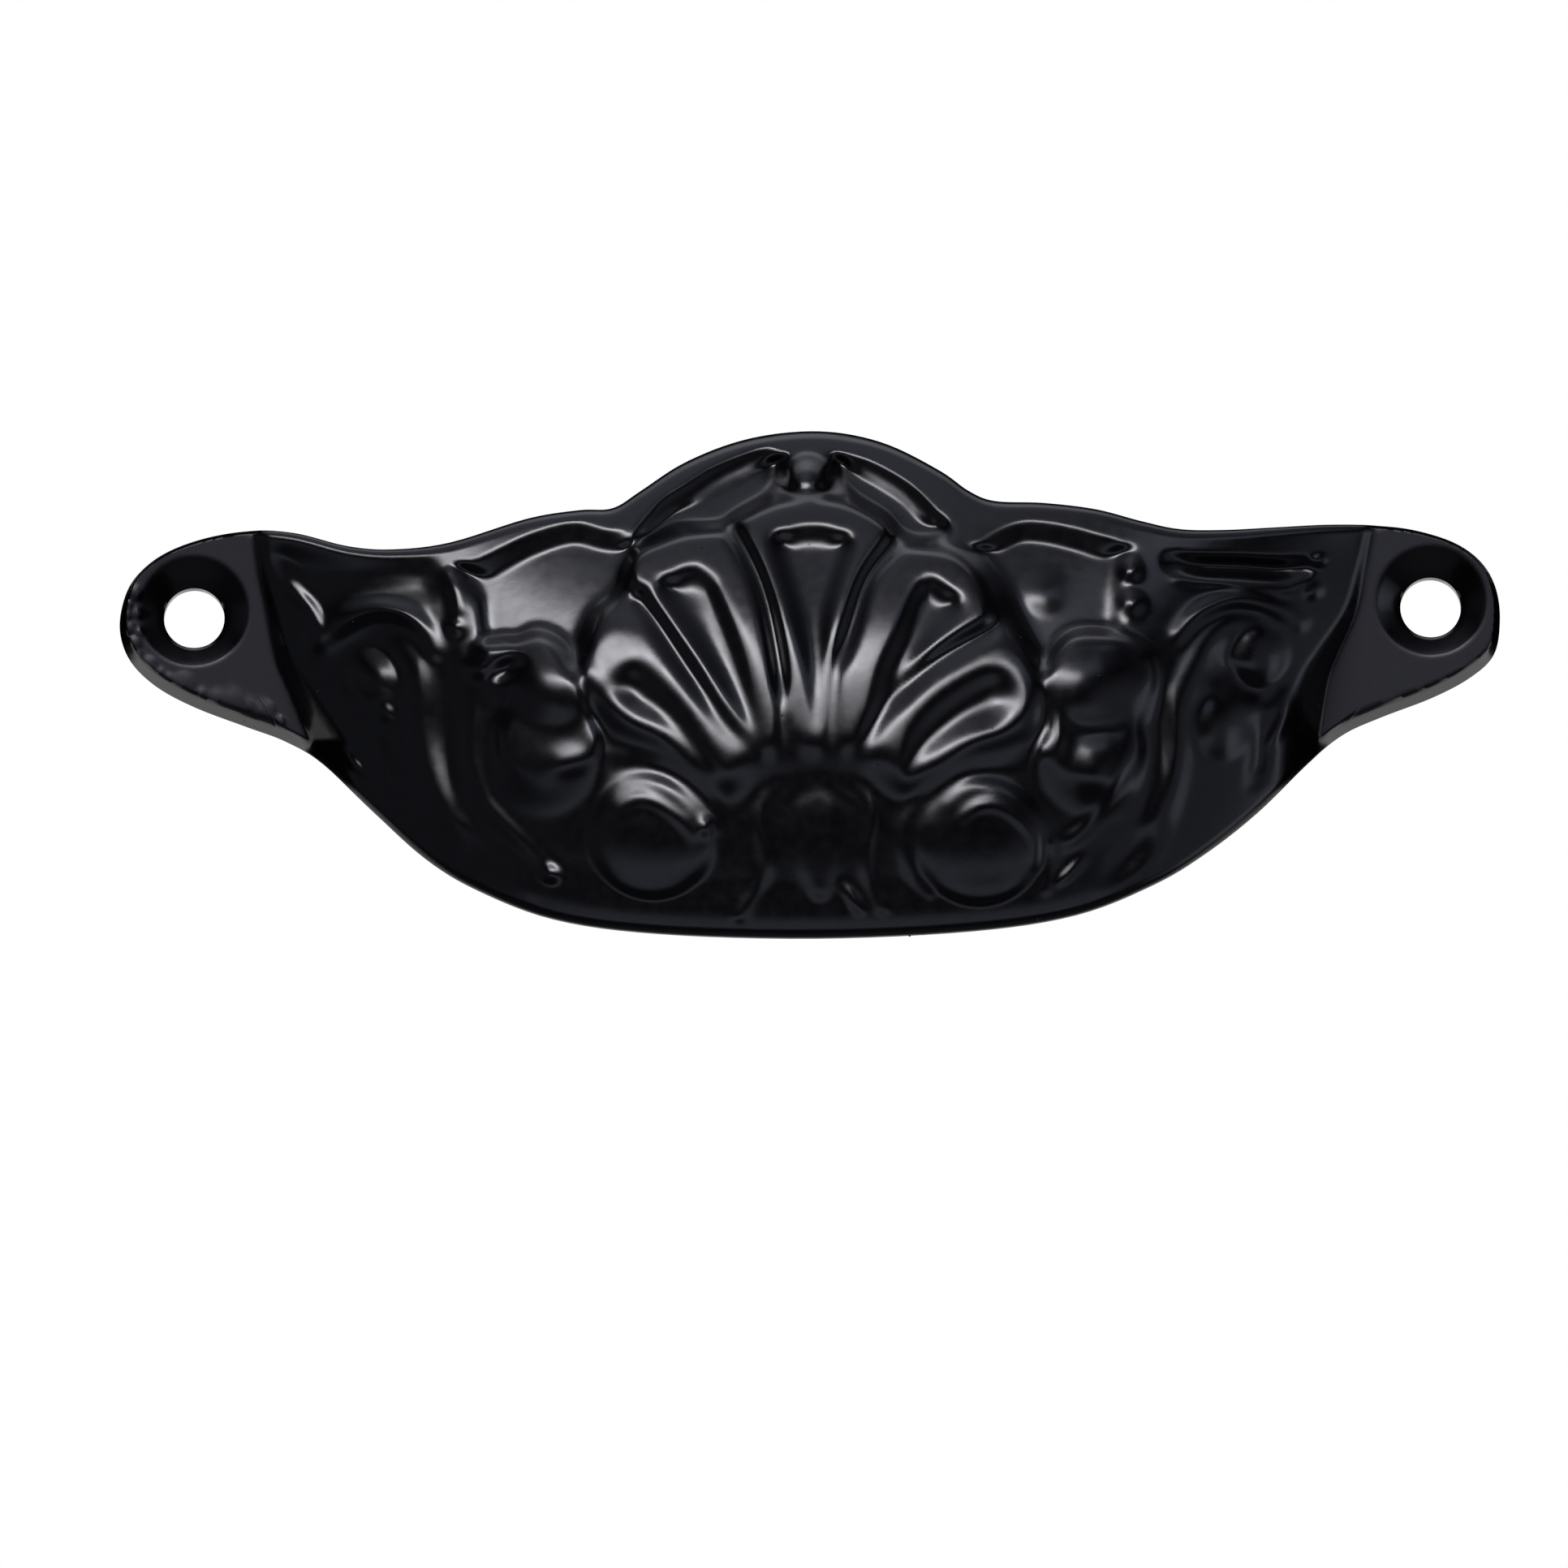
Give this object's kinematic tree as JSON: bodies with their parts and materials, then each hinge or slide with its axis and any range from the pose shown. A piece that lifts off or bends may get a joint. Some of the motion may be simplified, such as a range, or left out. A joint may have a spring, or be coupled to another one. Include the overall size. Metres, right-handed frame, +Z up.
{
  "type": "bin pull",
  "caption": "Cast bin pull for a drawer: a carved hood, open below and behind for the fingers, with a flat countersunk screw ear at each end.",
  "frame": {"origin": "midway between the two screw holes, on the back plane that lies against the drawer front", "axes": "+X along the pull from screw to screw, +Y into the drawer front, +Z up; the carved face looks towards -Y"},
  "size_m": [0.1072, 0.0227, 0.0433],
  "materials": {
    "black_paint": "thick gloss black paint over cast iron"
  },
  "bodies": {
    "root": {"bin_pull": "black_paint"}
  },
  "joints": []
}
